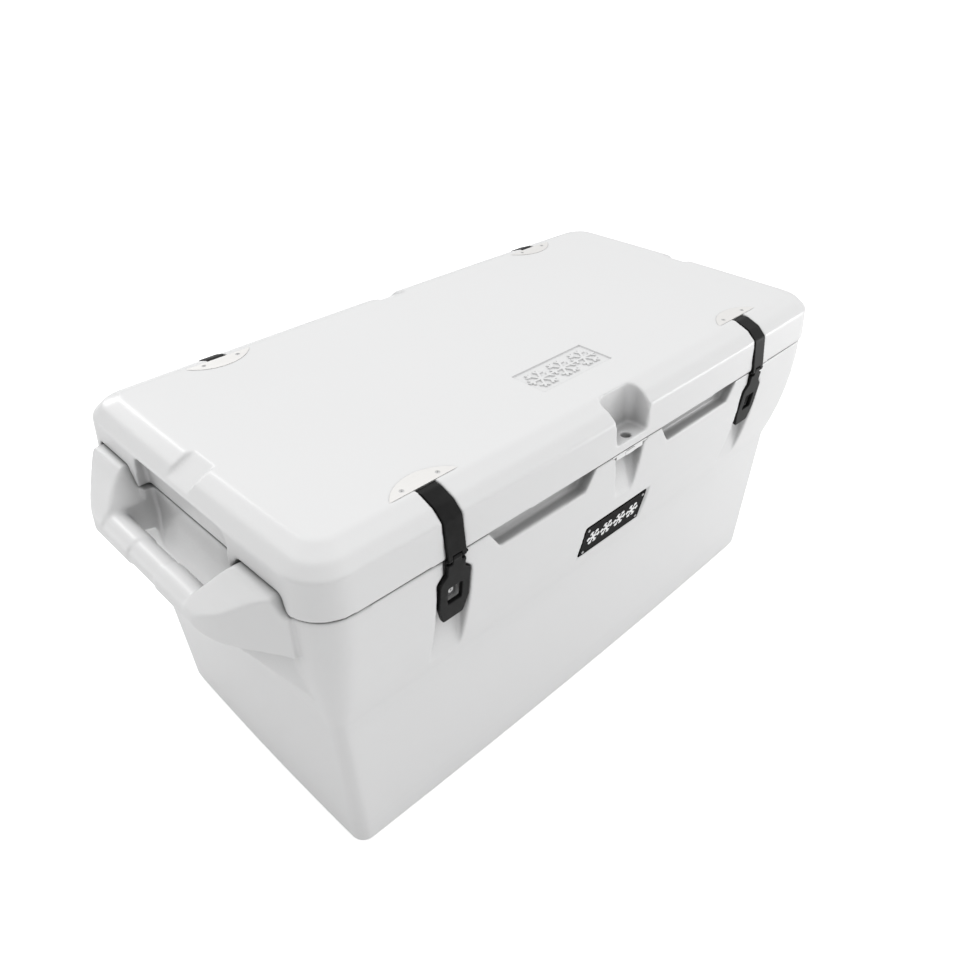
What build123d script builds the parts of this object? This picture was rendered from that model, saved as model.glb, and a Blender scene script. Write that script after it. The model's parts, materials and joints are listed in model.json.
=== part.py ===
from build123d import *
import os

# A rotomoulded double-wall ice chest with a hinged lid, moulded end handles and four rubber latches.
# Millimetres. Origin on the floor under the middle; +Z up, the front faces -Y, the length runs along X.

# ---- Driving dimensions ----
LID_TOP_Z = 513.0
LID_EDGE_Z = 443.0
RIM_Z = 440.0
BELT_Z = 251.0
BASE_Z = 2.0
LONG_BOW = 6.0
END_BOW = 3.5

# Outline sections: height, half length, half width, corner radius
BASE_SECTION = (BASE_Z, 462.0, 226.0, 20.0)
BELT_SECTION = (BELT_Z, 474.5, 231.5, 18.0)
SWELL_SECTION = ((BELT_Z + RIM_Z) / 2, 491.5, 254.5, 38.0)
SWELL_STEPS = 6
RIM_SECTION = (RIM_Z, 497.0, 260.5, 50.0)
LID_SECTIONS = (
    (LID_EDGE_Z, 500.0, 263.0, 52.0),
    (491.0, 496.7, 259.7, 50.0),
    (504.0, 483.0, 245.5, 38.0),
    (LID_TOP_Z, 462.0, 222.0, 24.0),
)
LID_EDGE_ROUNDS = (5.0, 14.0, 18.0)
BASE_ROUND = 8.0

# Ice cavity and foam space
CAVITY_FLOOR = (45.0, 408.0, 172.0, 30.0)
CAVITY_MOUTH = (RIM_Z + 1.0, 440.0, 202.0, 40.0)
CAVITY_ROUND = 16.0
INNER_SKIN = 5.0
FOAM_OUTER = (
    (11.0, 455.0, 219.0, 14.0),
    (BELT_Z - 1.0, 466.0, 222.0, 14.0),
    (345.0, 480.0, 226.0, 24.0),
    (434.0, 471.0, 226.0, 30.0),
)
LID_FOAM_LOW = ((424.0, 424.0, 186.0, 32.0), (452.0, 426.0, 188.0, 32.0))
LID_FOAM_HIGH = ((451.0, 466.0, 208.0, 30.0), (507.0, 452.0, 190.0, 20.0))
FOAM_GAP = 0.4

# Lid plug and seal
PLUG_SECTIONS = ((418.0, 430.0, 192.0, 34.0), (444.0, 434.0, 196.0, 36.0))
SEAL_HALF = (447.0, 209.0)
SEAL_WIDTH = 8.0
SEAL_BOTTOM_Z = RIM_Z + 0.1
SEAL_GROOVE_TOP_Z = 446.0

# Padlock notch in the lid and the pocket below it
NOTCH_HALF = 31.0
NOTCH_BACK = 230.0
NOTCH_FLOOR_Z = 456.0
LOCK_Y = 250.0
LOCK_HOLE_R = 6.5
POCKET_TOP = (RIM_Z + 1.0, 31.0, 236.0)
POCKET_FOOT = (365.0, 18.0, 256.0)
LOCK_PLATE_T = 2.5
LOCK_LIP_H = 8.0
LOCK_LIP_T = 2.0
LOCK_SEAT_BACK = 225.0
LOCK_SEAT_HALF = 37.0
LOCK_FRONT = 259.5

# Finger-lift pockets under the lid's front and back edge
LIFT_TOP_X = (70.0, 260.0)
LIFT_FOOT_X = (88.0, 241.0)
LIFT_FOOT_Z = 413.0
LIFT_BACK = 243.0

# Half-moon plates that hold the straps' ends
PLATE_CHORD_Y = 214.0
PLATE_HALF = 49.0
PLATE_DEPTH = 26.0
PLATE_T = 2.0
PLATE_SCREW_X = 25.7
PLATE_SCREW_Y = 206.0
PLATE_SCREW_R = 1.6
PLATE_SCREW_LENGTH = 8.0
PLATE_HEAD_R = 3.2
PLATE_HEAD_H = 1.2

# Latches
LATCH_X = 313.0
PIN_Y = 260.8
PIN_Z = 440.5
PIN_R = 2.0
PIN_LENGTH = 34.0
PIN_PLAY = 0.05
KNUCKLE_R = 3.3
KNUCKLE_SPLIT = 7.0
KNUCKLE_GAP = 0.3
SWING_RELIEF = ((-0.5, 3.4), (3.5, 6.6), (3.5, 0.0))
STRAP_WIDTH = 27.0
STRAP_T = 5.5
STRAP_BEND = 6.0
STRAP_FOOT_Z = 447.0
STRAP_BENDS = ((198.0, 508.2), (215.5, 508.2), (223.5, 509.0), (243.0, 501.6), (255.6, 489.5))
GROOVE_WIDTH = 28.5
GROOVE_GAP = 0.6
GROOVE_MOUTH = (PLATE_CHORD_Y, 226.0)
TONGUE_T = 6.0
TONGUE_LEAN = 6.5
TONGUE_OUTLINE = ((13.5, -6.5), (13.5, -21.0), (23.0, -30.0), (23.0, -72.0), (16.0, -96.0))
TONGUE_ROUND = 4.0
WINDOW = (22.0, 26.0)
WINDOW_DROP = 56.0
CHANNEL_FLOOR = 234.5
CHANNEL_OUTLINE = ((15.0, RIM_Z + 1.0), (15.0, 420.0), (25.3, 411.0), (25.0, 240.0))
KEEPER_FACE = 250.0
KEEPER_SIZE = (17.0, 19.0)
KEEPER_Z = PIN_Z - WINDOW_DROP
KEEPER_SINK = 2.5
KEEPER_HOLE_DEPTH = 9.5
KEEPER_SCREW_REACH = 9.0

# Emblem panel on the lid
EMBLEM_SIZE = (138.0, 59.0)
EMBLEM_Y = -138.0
EMBLEM_DEPTH = 0.9
EMBLEM_FLAKE = (21.0, 3.2)
EMBLEM_PITCH = 43.0

# Tie-down flats and end recesses in the lid
TIE_HALF = 25.0
TIE_RUN = 47.0
TIE_DROP = 22.0
END_RECESS_HALF = 104.0
END_RECESS_X = 484.0
END_RECESS_OUTLINE = ((104.0, 440.0), (104.0, 474.0), (100.0, 484.0), (90.0, 488.0))

# Moulded handles
BAR_X = 538.0
BAR_Z = 408.0
BAR_R = 19.0
BAR_MID_R = 17.5
BAR_HALF = 98.0
EAR_TOP_Z = 463.0
EAR_X = 482.0
EAR_GAP = 2.0
EAR_OUTER = 213.0
EAR_OUTER_RISE = 18.0
EAR_RAMP = ((98.0, 427.0), (112.0, 445.0), (129.0, EAR_TOP_Z))
ARM_HALF = 214.0
HAND_TOP_X = 484.0
GUSSET_FRONT = ((96, 412), (96, 388), (102, 384), (204, 307), (208, 304), (208, 400), (205, 412))
GUSSET_PLAN = ((537, 90), (537, 108), (486, 204), (484, 208), (470, 208), (470, 90))

# Badge
BADGE_Z = 307.5
BADGE_FACE_Y = 247.3
BADGE_LEAN = 11.5
BADGE_SIZE = (133.0, 56.0)
BADGE_T = 2.0
BADGE_RECESS = 4.0
BADGE_MARGIN = 4.5
BADGE_EDGE = 1.2
BADGE_SINK = 0.4

# Drain and feet
DRAIN_Z = 66.0
DRAIN_FACE_X = 453.0
DRAIN_INNER_X = 408.5
DRAIN_BORE_R = 10.5
DRAIN_RECESS_R = 24.0
DRAIN_BOSS_R = 28.0
DRAIN_TUBE_R = 14.0
DRAIN_FLANGE_R = 21.0
DRAIN_FLANGE_T = 4.0
DRAIN_PLUG_PLAY = 0.08
FOOT_AT = (385.0, 150.0)
FOOT_R = 25.0
FOOT_T = 6.0
SCREW_R = 2.0
SCREW_PLAY = 0.05

RIVET_R = 1.3
RIVET_INSET = 6.5
RIVET_LENGTH = 5.0
FOOT_SCREW_TOP = 9.6
LOCK_SCREWS = ((-27.0, -232.0), (27.0, -232.0))

RIVETS = [
    (sx * (BADGE_SIZE[0] / 2 - RIVET_INSET), sz * (BADGE_SIZE[1] / 2 - RIVET_INSET))
    for sx in (-1, 1)
    for sz in (-1, 1)
]
CORNERS = {"front_left": (-1, -1), "front_right": (1, -1), "back_left": (-1, 1), "back_right": (1, 1)}


# ---- Shared shapes ----
def bowed_rectangle(half_x, half_y, corner_r):
    """A rounded rectangle whose four sides bow outwards, furthest out at mid-length."""
    with BuildSketch() as outline:
        with BuildLine():
            corners = [
                (sx * (half_x - END_BOW), sy * (half_y - LONG_BOW))
                for sx, sy in ((-1, -1), (1, -1), (1, 1), (-1, 1))
            ]
            middles = ((0, -half_y), (half_x, 0), (0, half_y), (-half_x, 0))
            for index, middle in enumerate(middles):
                ThreePointArc(corners[index], middle, corners[(index + 1) % 4])
        make_face()
        fillet(outline.vertices(), corner_r)
    return outline.sketch


def stacked_loft(sections, grow=0.0):
    """Straight-sided lofts through (height, half length, half width, corner radius) sections."""
    with BuildPart() as stack:
        for low, high in zip(sections, sections[1:]):
            with BuildSketch(Plane.XY.offset(low[0])):
                add(bowed_rectangle(low[1] + grow, low[2] + grow, low[3]))
            with BuildSketch(Plane.XY.offset(high[0])):
                add(bowed_rectangle(high[1] + grow, high[2] + grow, high[3]))
            loft(ruled=True)
    return stack.part


def curved_sections(low, middle, high, steps):
    """Sections spaced evenly up a parabola through three given ones."""
    sections = []
    for step in range(steps + 1):
        t = step / steps
        weights = ((1 - t) * (1 - 2 * t), 4 * t * (1 - t), t * (2 * t - 1))
        sections.append([sum(w * v for w, v in zip(weights, values)) for values in zip(low, middle, high)])
    return sections


def body_foam_block(gap):
    """The space between the two skins of the body, shrunk by gap on every side."""
    shrink = [(z, x - gap, y - gap, r) for z, x, y, r in FOAM_OUTER]
    shrink[0] = (FOAM_OUTER[0][0] + gap, *shrink[0][1:])
    shrink[-1] = (FOAM_OUTER[-1][0] - gap, *shrink[-1][1:])
    floor_z = CAVITY_FLOOR[0] - INNER_SKIN - gap
    liner = ((floor_z, *CAVITY_FLOOR[1:]), CAVITY_MOUTH)
    with BuildPart() as block:
        add(stacked_loft(shrink))
        add(stacked_loft(liner, INNER_SKIN + gap), mode=Mode.SUBTRACT)
        with BuildSketch(Plane.YZ.offset(CAVITY_FLOOR[1] - 20)):
            with Locations((0, DRAIN_Z)):
                Circle(DRAIN_BOSS_R + gap)
        extrude(amount=100, mode=Mode.SUBTRACT)
    return block.part


def lid_foam_block(gap):
    """The space inside the lid shell, shrunk by gap on every side."""
    with BuildPart() as block:
        for low, high in (LID_FOAM_LOW, LID_FOAM_HIGH):
            end_cut = gap if low is LID_FOAM_LOW[0] else 0.0
            top_cut = gap if high is LID_FOAM_HIGH[1] else 0.0
            base_lift = gap if low is LID_FOAM_HIGH[0] else end_cut
            levels = ((low[0] + base_lift, *low[1:]), (high[0] - top_cut, *high[1:]))
            add(stacked_loft(levels, -gap))
    return block.part


def ear_outline(clearance, side):
    """End view of one ear: an S up from the outside, a level top and a ramp down to the bar."""
    top = EAR_TOP_Z + clearance
    outer = side * (EAR_OUTER + clearance)
    outer_top = outer - side * EAR_OUTER_RISE
    ramp_points = [(side * (y - clearance), z + clearance) for y, z in EAR_RAMP]
    foot = EAR_RAMP[0][1] - 10
    with BuildSketch() as ear:
        with BuildLine():
            rise = Spline(
                (outer, RIM_Z), ((outer + outer_top) / 2, (top + RIM_Z) / 2), (outer_top, top),
                tangents=((-side, 0.5), (-side, 0)),
            )
            ramp = Spline(*ramp_points, tangents=((side * 0.6, 1), (side, 0.6)))
            Line(rise @ 1, ramp @ 1)
            Polyline(ramp @ 0, (ramp_points[0][0], foot), (outer, foot), rise @ 0)
        make_face()
    return ear.sketch


def handle_arms():
    """The two arms of the +X handle with their ears, before the hand space is cut."""
    with BuildPart() as arms:
        # Side profile: level at the ear, then curling over and down onto the bar
        with BuildSketch(Plane.XZ):
            with BuildLine():
                top = Line((EAR_X, EAR_TOP_Z), (498, EAR_TOP_Z))
                brow = Spline(
                    top @ 1,
                    (522, 452),
                    (542, 432),
                    (BAR_X + BAR_R, BAR_Z),
                    tangents=((1, 0), (0, -1)),
                )
                belly = ThreePointArc(brow @ 1, (BAR_X + 13.4, BAR_Z - 13.4), (BAR_X, BAR_Z - BAR_R))
                Polyline(belly @ 1, (EAR_X, BAR_Z - BAR_R - 8), top @ 0)
            make_face()
        extrude(amount=ARM_HALF, both=True)
        # Plan: straight along the bar, then swept back into the end wall
        with BuildSketch(Plane.XY):
            with BuildLine():
                sweep_back = Spline(
                    (BAR_X + BAR_R + 1, BAR_HALF),
                    (551, 133),
                    (528, 172),
                    (499, ARM_HALF),
                    tangents=((0, 1), (-0.6, 1)),
                )
                corner = Line(sweep_back @ 1, (EAR_X, ARM_HALF))
                Line(corner @ 1, (EAR_X, 0))
                Line((EAR_X, 0), (BAR_X + BAR_R + 1, 0))
                Line((BAR_X + BAR_R + 1, 0), sweep_back @ 0)
            make_face()
            mirror(about=Plane.XZ)
        extrude(amount=LID_TOP_Z, mode=Mode.INTERSECT)
        # Above the rim only the two ears stay, ramping down to the bar
        with BuildSketch(Plane.YZ.offset(EAR_X - 1)):
            with Locations((0, RIM_Z + 20)):
                Rectangle(2 * ARM_HALF + 10, 40)
            with Locations((0, EAR_RAMP[0][1] + 15)):
                Rectangle(2 * EAR_RAMP[2][0], 30)
            for side in (1, -1):
                add(ear_outline(0, side), mode=Mode.SUBTRACT)
        extrude(amount=BAR_X + BAR_R - EAR_X, mode=Mode.SUBTRACT)
    return arms.part


def handle_gussets():
    """The faces under the arms: they run back to the belt corners along a falling lower edge."""
    with BuildPart() as gussets:
        with BuildSketch(Plane.YZ.offset(470)):
            for side in (1, -1):
                with BuildLine():
                    Polyline(*[(side * y, z) for y, z in GUSSET_FRONT], close=True)
                make_face()
        extrude(amount=BAR_X - 470)
        with BuildSketch(Plane.XY.offset(BELT_Z)):
            for side in (1, -1):
                with BuildLine():
                    Polyline(*[(x, side * y) for x, y in GUSSET_PLAN], close=True)
                make_face()
        extrude(amount=RIM_Z - BELT_Z, mode=Mode.INTERSECT)
    return gussets.part


def outward_plane(x, side):
    """Upright plane across the chest at x: local X points outwards (front or back), local Y up."""
    return Plane(origin=(x, 0, 0), x_dir=(0, side, 0), z_dir=(side, 0, 0))


def endways_plane(end):
    """Upright plane along the chest's middle: local X points out of one end, local Y up."""
    return Plane(origin=(0, 0, 0), x_dir=(end, 0, 0), z_dir=(0, -end, 0))


def face_plane(x, y, z, side, slope=0.0):
    """Plane facing outwards at (x, y): local X along the chest, local Y up; slope leans it like the face."""
    upright = Plane(origin=(x, side * y, z), x_dir=(-side, 0, 0), z_dir=(0, side, 0))
    return upright.rotated((-side * slope, 0, 0))


def strap_line():
    """Centre line of a strap, outwards and up, from its anchor under the plate to just above the pin."""
    with BuildLine() as line:
        FilletPolyline(*STRAP_BENDS, (PIN_Y, STRAP_FOOT_Z), radius=STRAP_BEND)
    return line.line


def strap_band(x, side, thickness, width):
    """The strap's band as a solid; a thicker and wider one is the groove it lies in."""
    with BuildPart() as band:
        with BuildSketch(outward_plane(x, side)):
            trace(strap_line(), line_width=thickness)
        extrude(amount=width / 2, both=True)
    return band.part


def plate_plane(sx, sy):
    """Floor of a half-moon plate's seat: local Y points outwards from the middle of the lid."""
    return Plane(origin=(sx * LATCH_X, 0, LID_TOP_Z - PLATE_T), x_dir=(sy, 0, 0), z_dir=(0, 0, 1))


def seal_ring():
    """Plan of the seal under the lid."""
    with BuildSketch() as ring:
        add(bowed_rectangle(*[half + SEAL_WIDTH / 2 for half in SEAL_HALF], 44))
        add(bowed_rectangle(*[half - SEAL_WIDTH / 2 for half in SEAL_HALF], 36), mode=Mode.SUBTRACT)
    return ring.sketch


def half_moon(margin):
    """Half-moon outline, its straight side outwards."""
    with BuildSketch() as moon:
        with BuildLine():
            half, chord_y = PLATE_HALF + margin, PLATE_CHORD_Y + margin
            ThreePointArc((-half, chord_y), (0, PLATE_CHORD_Y - PLATE_DEPTH - margin), (half, chord_y))
            Line((half, chord_y), (-half, chord_y))
        make_face()
    return moon.sketch


def snowflake(reach, width):
    """A plain six-armed snowflake."""
    with BuildSketch() as flake:
        with PolarLocations(0, 6):
            with Locations((reach / 2, 0)):
                Rectangle(reach, width)
            with Locations((reach * 0.68, 0)):
                with Locations(Location((0, 0, 0), (0, 0, 60)), Location((0, 0, 0), (0, 0, -60))):
                    with Locations((reach * 0.15, 0)):
                        Rectangle(reach * 0.3, width)
    return flake.sketch


def latch_plane(sx, sy):
    """Plane of a closed tongue: origin on its pin, local Y up along the tongue."""
    return face_plane(sx * LATCH_X, PIN_Y, PIN_Z, sy, TONGUE_LEAN)


def half_outline(points):
    """A closed outline mirrored about local Y, from the points of its right half."""
    with BuildSketch() as outline:
        with BuildLine():
            Polyline(*points, *[(-u, v) for u, v in reversed(points)], close=True)
        make_face()
    return outline.sketch


# ---- Body ----
with BuildPart() as body_shell:
    swell = curved_sections(BELT_SECTION, SWELL_SECTION, RIM_SECTION, SWELL_STEPS)
    add(stacked_loft((BASE_SECTION, *swell)))
    fillet(body_shell.faces().sort_by(Axis.Z)[0].edges(), BASE_ROUND)
    # Handles at both ends
    arms = handle_arms()
    gussets = handle_gussets()
    for moulding in (arms, gussets):
        add(moulding)
        mirror(moulding, about=Plane.YZ)
    # Hand space behind each bar, sinking a little into the end wall
    with BuildSketch(Plane.XZ):
        with BuildLine():
            hand = [(HAND_TOP_X, 470), (HAND_TOP_X, 400), (493, 335), (600, 335), (600, 470)]
            Polyline(*hand, close=True)
        make_face()
        mirror(about=Plane.YZ)
    extrude(amount=BAR_HALF, both=True, mode=Mode.SUBTRACT)
    # Grip bars, waisted over their middle third
    for end in (1, -1):
        with BuildSketch(Plane.XZ):
            with Locations((end * BAR_X, BAR_Z)):
                Circle(BAR_R)
        extrude(amount=BAR_HALF + 20, both=True)
        with BuildSketch(Plane.XZ):
            with Locations((end * BAR_X, BAR_Z)):
                Circle(BAR_R + 4)
                Circle(BAR_MID_R, mode=Mode.SUBTRACT)
        extrude(amount=BAR_HALF / 3, both=True, mode=Mode.SUBTRACT)
    # Ice cavity
    add(stacked_loft((CAVITY_FLOOR, CAVITY_MOUTH)), mode=Mode.SUBTRACT)
    cavity_floor_edges = body_shell.faces().filter_by(Plane.XY).sort_by(Axis.Z)[1].edges()
    fillet(cavity_floor_edges, CAVITY_ROUND)
    # Padlock pocket, narrowing and running out downwards
    for height, half_x, back_y in (POCKET_TOP, POCKET_FOOT):
        with BuildSketch(Plane.XY.offset(height)):
            with Locations((0, -back_y - 20)):
                RectangleRounded(2 * half_x, 40, 5)
    loft(ruled=True, mode=Mode.SUBTRACT)
    # Finger-lift pockets in the front
    with BuildSketch(face_plane(0, LIFT_BACK, 0, -1)):
        for side in (1, -1):
            with BuildLine():
                Polyline(
                    (side * LIFT_TOP_X[0], RIM_Z + 1),
                    (side * LIFT_TOP_X[1], RIM_Z + 1),
                    (side * LIFT_FOOT_X[1], LIFT_FOOT_Z),
                    (side * LIFT_FOOT_X[0], LIFT_FOOT_Z),
                    close=True,
                )
            make_face()
    extrude(amount=40, mode=Mode.SUBTRACT)
    # Latch channels, front and back
    for sx, sy in CORNERS.values():
        with BuildSketch(face_plane(sx * LATCH_X, CHANNEL_FLOOR, 0, sy)):
            add(half_outline(CHANNEL_OUTLINE))
        extrude(amount=40, mode=Mode.SUBTRACT)
        with BuildSketch(face_plane(sx * LATCH_X, CHANNEL_FLOOR - KEEPER_HOLE_DEPTH, KEEPER_Z, sy)):
            Circle(SCREW_R + SCREW_PLAY)
        extrude(amount=KEEPER_HOLE_DEPTH + 1, mode=Mode.SUBTRACT)
    # Badge recess
    badge_plane = face_plane(0, BADGE_FACE_Y, BADGE_Z, -1, BADGE_LEAN).offset(-BADGE_RECESS)
    with BuildSketch(badge_plane):
        Rectangle(BADGE_SIZE[0] + 2 * BADGE_MARGIN, BADGE_SIZE[1] + 2 * BADGE_MARGIN)
    extrude(amount=20, mode=Mode.SUBTRACT)
    # Seat of the lock plate and its screw holes
    with BuildSketch(Plane.XY.offset(RIM_Z + 1)):
        with Locations((0, -LOCK_SEAT_BACK - 25)):
            Rectangle(2 * LOCK_SEAT_HALF, 50)
    extrude(amount=-1 - LOCK_PLATE_T - 0.4, mode=Mode.SUBTRACT)
    with BuildSketch(Plane.XY.offset(RIM_Z)):
        with Locations(*LOCK_SCREWS):
            Circle(SCREW_R + SCREW_PLAY)
    extrude(amount=-14, mode=Mode.SUBTRACT)
    # Rivet holes behind the badge
    with BuildSketch(badge_plane):
        with Locations(*RIVETS):
            Circle(RIVET_R + SCREW_PLAY)
    extrude(amount=-RIVET_LENGTH - 0.5, mode=Mode.SUBTRACT)
    # Foot recesses and their screw holes
    with BuildSketch(Plane.XY):
        with GridLocations(2 * FOOT_AT[0], 2 * FOOT_AT[1], 2, 2):
            Circle(FOOT_R + 0.5)
    extrude(amount=FOOT_T, mode=Mode.SUBTRACT)
    # Space between the skins, and posts through it for the foot screws
    add(body_foam_block(0.0), mode=Mode.SUBTRACT)
    with BuildSketch(Plane.XY):
        with GridLocations(2 * FOOT_AT[0], 2 * FOOT_AT[1], 2, 2):
            Circle(SCREW_R + SCREW_PLAY)
    extrude(amount=FOOT_SCREW_TOP + 0.5, mode=Mode.SUBTRACT)
    # Drain hole through both skins and its recess
    with BuildSketch(Plane.YZ.offset(CAVITY_FLOOR[1] - 20)):
        with Locations((0, DRAIN_Z)):
            Circle(DRAIN_TUBE_R)
    extrude(amount=100, mode=Mode.SUBTRACT)
    with BuildSketch(Plane.YZ.offset(DRAIN_FACE_X)):
        with Locations((0, DRAIN_Z)):
            Circle(DRAIN_RECESS_R)
    extrude(amount=40, mode=Mode.SUBTRACT)

with BuildPart() as body_foam:
    add(body_foam_block(FOAM_GAP))

# ---- Lid ----
with BuildPart() as lid_shell:
    add(stacked_loft(LID_SECTIONS))
    for section, radius in zip(LID_SECTIONS[1:], LID_EDGE_ROUNDS):
        level = [e for e in lid_shell.edges() if abs(e.center().Z - section[0]) < 0.6]
        fillet([e for e in level if abs(e.tangent_at(0.5).Z) < 0.1], radius)
    # Plug that drops into the cavity
    add(stacked_loft(PLUG_SECTIONS))
    # Seal groove
    with BuildSketch(Plane.XY.offset(LID_EDGE_Z - 1)):
        add(seal_ring())
    extrude(amount=SEAL_GROOVE_TOP_Z - LID_EDGE_Z + 1, mode=Mode.SUBTRACT)
    # Padlock notch and hole
    with BuildSketch(Plane.XY.offset(NOTCH_FLOOR_Z)):
        with Locations((0, -NOTCH_BACK - 40)):
            RectangleRounded(2 * NOTCH_HALF, 80, 9)
    extrude(amount=LID_TOP_Z - NOTCH_FLOOR_Z + 2, taper=-6, mode=Mode.SUBTRACT)
    with BuildSketch(Plane.XY.offset(LID_EDGE_Z - 1)):
        with Locations((0, -LOCK_Y)):
            Circle(LOCK_HOLE_R)
    extrude(amount=NOTCH_FLOOR_Z - LID_EDGE_Z + 2, mode=Mode.SUBTRACT)
    # Cut-outs over the ears, and recesses above the hand spaces
    for side in (1, -1):
        with BuildSketch(Plane.YZ.offset(EAR_X - EAR_GAP)):
            add(ear_outline(EAR_GAP, side))
        ear_gap = extrude(amount=30, mode=Mode.SUBTRACT)
        mirror(ear_gap, about=Plane.YZ, mode=Mode.SUBTRACT)
    with BuildSketch(Plane.YZ.offset(END_RECESS_X)):
        with BuildLine():
            Polyline(*END_RECESS_OUTLINE, *[(-y, z) for y, z in reversed(END_RECESS_OUTLINE)], close=True)
        make_face()
    recess = extrude(amount=40, mode=Mode.SUBTRACT)
    mirror(recess, about=Plane.YZ, mode=Mode.SUBTRACT)
    # Tie-down flats at both ends and the back
    top_half_x, top_half_y = LID_SECTIONS[-1][1:3]
    for plane, start in (
        (endways_plane(1), top_half_x - 9),
        (endways_plane(-1), top_half_x - 9),
        (outward_plane(0, 1), top_half_y - 9),
    ):
        with BuildSketch(plane):
            with BuildLine():
                Polyline(
                    (start, LID_TOP_Z),
                    (start + TIE_RUN, LID_TOP_Z - TIE_DROP),
                    (start + TIE_RUN, LID_TOP_Z + 9),
                    (start, LID_TOP_Z + 9),
                    close=True,
                )
            make_face()
        extrude(amount=TIE_HALF, both=True, mode=Mode.SUBTRACT)
    # Strap grooves, anchor slots and plate seats
    for sx, sy in CORNERS.values():
        add(strap_band(sx * LATCH_X, sy, STRAP_T + 2 * GROOVE_GAP, GROOVE_WIDTH), mode=Mode.SUBTRACT)
        with BuildSketch(outward_plane(sx * LATCH_X, sy)):
            with Locations((PIN_Y + 1, PIN_Z)):
                Rectangle(2 * KNUCKLE_R + 3, 2 * (STRAP_FOOT_Z - PIN_Z + 1))
            with Locations((sum(GROOVE_MOUTH) / 2, LID_TOP_Z - 1)):
                Rectangle(GROOVE_MOUTH[1] - GROOVE_MOUTH[0], 2 * STRAP_T)
        extrude(amount=GROOVE_WIDTH / 2, both=True, mode=Mode.SUBTRACT)
        with BuildSketch(plate_plane(sx, sy)):
            add(half_moon(0.3))
        extrude(amount=PLATE_T + 1, mode=Mode.SUBTRACT)
        with BuildSketch(plate_plane(sx, sy)):
            with Locations((-PLATE_SCREW_X, PLATE_SCREW_Y), (PLATE_SCREW_X, PLATE_SCREW_Y)):
                Circle(PLATE_SCREW_R + SCREW_PLAY)
        extrude(amount=-PLATE_SCREW_LENGTH - 0.5, mode=Mode.SUBTRACT)
    # Sunken panel with three plain snowflakes near the front edge
    with BuildSketch(Plane.XY.offset(LID_TOP_Z)):
        with Locations((0, EMBLEM_Y)):
            Rectangle(*EMBLEM_SIZE)
        for column in (-1, 0, 1):
            with Locations((column * EMBLEM_PITCH, EMBLEM_Y)):
                add(snowflake(*EMBLEM_FLAKE), mode=Mode.SUBTRACT)
    extrude(amount=-EMBLEM_DEPTH, mode=Mode.SUBTRACT)
    add(lid_foam_block(0.0), mode=Mode.SUBTRACT)

with BuildPart() as lid_foam:
    add(lid_foam_block(FOAM_GAP))

with BuildPart() as lid_gasket:
    with BuildSketch(Plane.XY.offset(SEAL_BOTTOM_Z)):
        add(seal_ring())
    extrude(amount=SEAL_GROOVE_TOP_Z - SEAL_BOTTOM_Z)
    fillet(lid_gasket.faces().sort_by(Axis.Z)[0].edges(), 2)

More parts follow.
